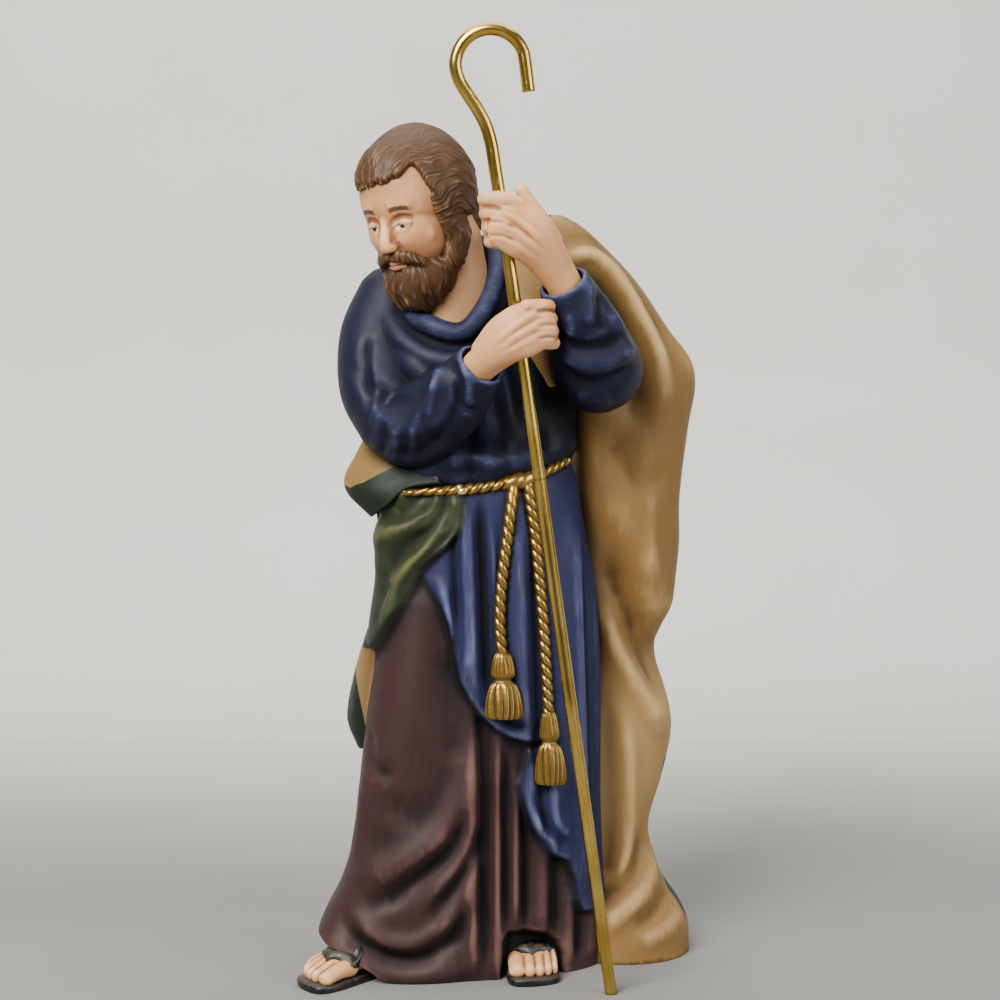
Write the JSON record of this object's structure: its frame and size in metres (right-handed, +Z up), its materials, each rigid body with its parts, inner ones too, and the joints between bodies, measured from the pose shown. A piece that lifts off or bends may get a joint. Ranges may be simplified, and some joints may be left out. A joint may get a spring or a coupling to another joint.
{
  "type": "saint joseph figurine",
  "caption": "Painted porcelain figure of a bearded man in robe, tunic and cloak, leaning with both hands on a brass shepherd's staff.",
  "frame": {"origin": "on the flat underside of the figure, below the middle of the robe", "axes": "+Z up along the figure, +X to the viewer's right, -Y towards the viewer, the way the chest faces"},
  "size_m": [0.1144, 0.0912, 0.2668],
  "materials": {
    "painted_porcelain": "hand-painted matte bisque in muted navy, plum, olive green, ochre, flesh and brown, with metallic gold cords",
    "brass_rod": "polished, lightly scratched lengthwise"
  },
  "bodies": {
    "root": {"figurine": "painted_porcelain", "staff": "brass_rod"}
  },
  "joints": []
}
